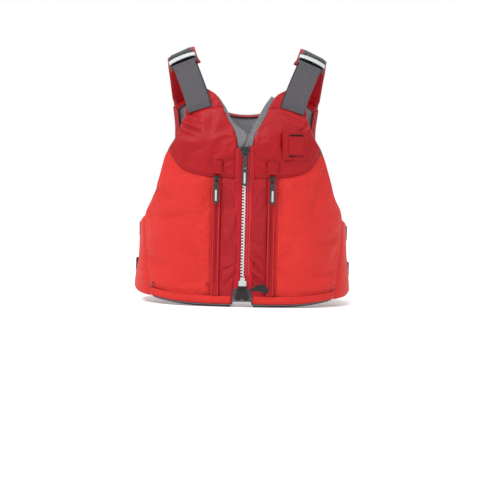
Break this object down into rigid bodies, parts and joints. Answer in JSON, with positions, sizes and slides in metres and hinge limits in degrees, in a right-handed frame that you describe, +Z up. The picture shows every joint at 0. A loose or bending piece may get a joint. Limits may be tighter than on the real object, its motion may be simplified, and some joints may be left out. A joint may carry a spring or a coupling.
{
  "type": "life jacket",
  "caption": "Front-zip paddling life jacket with foam-filled front halves and back, webbing shoulder straps, side straps and two vertical zip pockets, standing on its hem.",
  "frame": {"origin": "middle of the bounding box at the hem, the surface that the jacket stands on", "axes": "+Z up to the shoulders, -Y out of the zipped front, +X to the wearer's left"},
  "size_m": [0.3674, 0.2909, 0.4296],
  "materials": {
    "red_ripstop": "bright red-orange ripstop nylon, satin sheen",
    "dark_red_nylon": "smooth darker red nylon",
    "red_zip_tape": "woven red zip tape",
    "grey_lining": "heather grey knit lining",
    "grey_webbing": "charcoal woven webbing",
    "foam": "closed-cell buoyancy foam",
    "black_plastic": "black moulded acetal",
    "black_metal": "black enamelled zip slider",
    "tooth_plastic": "pale moulded zip teeth",
    "pale_grey_plastic": "pale grey moulded plastic",
    "black_film": "black laminated zip end film",
    "black_patch": "black-brown reinforcing patch"
  },
  "bodies": {
    "back": {"back_foam": "foam", "back_lining": "grey_lining", "back_shell": "dark_red_nylon", "back_shoulder_left": "dark_red_nylon", "back_shoulder_right": "dark_red_nylon", "hem_back": "red_ripstop", "shoulder_strap_top_left": "grey_webbing", "shoulder_strap_top_right": "grey_webbing", "side_strap_lower_left": "grey_webbing", "side_strap_lower_right": "grey_webbing", "side_strap_upper_left": "grey_webbing", "side_strap_upper_right": "grey_webbing", "side_wing_rear_left": "red_ripstop", "side_wing_rear_right": "red_ripstop"},
    "front_left": {"center_panel_left": "red_ripstop", "chest_foam_left": "foam", "chest_yoke_left": "dark_red_nylon", "drain_flap": "black_patch", "front_foam_left": "foam", "front_lining_left": "grey_lining", "hem_front_left": "red_ripstop", "lash_tab": "dark_red_nylon", "neck_tongue_left": "dark_red_nylon", "pocket_panel_left": "red_ripstop", "pocket_zip_tape_left": "red_zip_tape", "shoulder_strap_left": "grey_webbing", "side_wing_front_left": "red_ripstop", "zip_box": "pale_grey_plastic", "zip_end_tab_left": "black_film", "zip_tape_left": "red_zip_tape", "zip_teeth_left": "tooth_plastic"},
    "front_right": {"center_panel_right": "red_ripstop", "chest_foam_right": "foam", "chest_yoke_right": "dark_red_nylon", "front_foam_right": "foam", "front_lining_right": "grey_lining", "hem_front_right": "red_ripstop", "neck_tongue_right": "dark_red_nylon", "pocket_panel_right": "red_ripstop", "pocket_zip_tape_right": "red_zip_tape", "shoulder_strap_right": "grey_webbing", "side_wing_front_right": "red_ripstop", "zip_end_tab_right": "black_film", "zip_pin": "pale_grey_plastic", "zip_tape_right": "red_zip_tape", "zip_teeth_right": "tooth_plastic"},
    "zip_slider": {"zip_slider": "black_metal"},
    "zip_pull": {"zip_pull": "black_plastic"},
    "pocket_pull_left": {"pocket_pull_left": "black_plastic"},
    "pocket_pull_right": {"pocket_pull_right": "black_plastic"},
    "pocket_slider_left": {"pocket_slider_left": "black_metal"},
    "pocket_slider_right": {"pocket_slider_right": "black_metal"},
    "shoulder_buckle_left": {"shoulder_buckle_left": "black_plastic"},
    "shoulder_buckle_right": {"shoulder_buckle_right": "black_plastic"},
    "side_adjuster_lower_left": {"side_adjuster_lower_left": "black_plastic"},
    "side_adjuster_lower_right": {"side_adjuster_lower_right": "black_plastic"},
    "side_adjuster_upper_left": {"side_adjuster_upper_left": "black_plastic"},
    "side_adjuster_upper_right": {"side_adjuster_upper_right": "black_plastic"}
  },
  "joints": [
    {"name": "front_left_open", "type": "hinge", "parent": "back", "child": "front_left", "pos_m": [0.174, -0.001, 0.06], "axis": [-0.1406, 0, 0.9901], "range_deg": [0, 60]},
    {"name": "front_right_open", "type": "hinge", "parent": "back", "child": "front_right", "pos_m": [-0.174, -0.001, 0.06], "axis": [-0.1406, 0, -0.9901], "range_deg": [0, 60]},
    {"name": "main_zip_slide", "type": "slide", "parent": "front_left", "child": "zip_slider", "axis": [0, 0.031, -0.9995], "range_m": [0, 0.195]},
    {"name": "zip_pull_swing", "type": "hinge", "parent": "zip_slider", "child": "zip_pull", "pos_m": [0, -0.14223, 0.25331], "axis": [-1, 0, 0], "range_deg": [0, 150]},
    {"name": "pocket_zip_slide_left", "type": "slide", "parent": "front_left", "child": "pocket_slider_left", "axis": [0, 0.0338, -0.9994], "range_m": [0, 0.155]},
    {"name": "pocket_pull_swing_left", "type": "hinge", "parent": "pocket_slider_left", "child": "pocket_pull_left", "pos_m": [0.0457, -0.13916, 0.2083], "axis": [-0.9928, -0.12, -0.0041], "range_deg": [0, 150]},
    {"name": "pocket_zip_slide_right", "type": "slide", "parent": "front_right", "child": "pocket_slider_right", "axis": [0, 0.0338, -0.9994], "range_m": [0, 0.155]},
    {"name": "pocket_pull_swing_right", "type": "hinge", "parent": "pocket_slider_right", "child": "pocket_pull_right", "pos_m": [-0.0457, -0.13916, 0.2083], "axis": [-0.9928, 0.12, 0.0041], "range_deg": [0, 150]},
    {"name": "shoulder_buckle_tilt_left", "type": "hinge", "parent": "back", "child": "shoulder_buckle_left", "pos_m": [0.11036, -0.0261, 0.41065], "axis": [-0.9207, -0.0193, 0.3898], "range_deg": [0, 35]},
    {"name": "side_adjuster_tilt_upper_left", "type": "hinge", "parent": "back", "child": "side_adjuster_upper_left", "pos_m": [0.15692, 0.08805, 0.118], "axis": [0, 0, -1], "range_deg": [0, 35]},
    {"name": "side_adjuster_tilt_lower_left", "type": "hinge", "parent": "back", "child": "side_adjuster_lower_left", "pos_m": [0.16093, 0.0899, 0.05655], "axis": [0, 0, -1], "range_deg": [0, 35]},
    {"name": "shoulder_buckle_tilt_right", "type": "hinge", "parent": "back", "child": "shoulder_buckle_right", "pos_m": [-0.11036, -0.0261, 0.41065], "axis": [-0.9207, 0.0193, -0.3898], "range_deg": [0, 35]},
    {"name": "side_adjuster_tilt_upper_right", "type": "hinge", "parent": "back", "child": "side_adjuster_upper_right", "pos_m": [-0.15692, 0.08805, 0.118], "axis": [0, 0, 1], "range_deg": [0, 35]},
    {"name": "side_adjuster_tilt_lower_right", "type": "hinge", "parent": "back", "child": "side_adjuster_lower_right", "pos_m": [-0.16093, 0.0899, 0.05655], "axis": [0, 0, 1], "range_deg": [0, 35]}
  ]
}
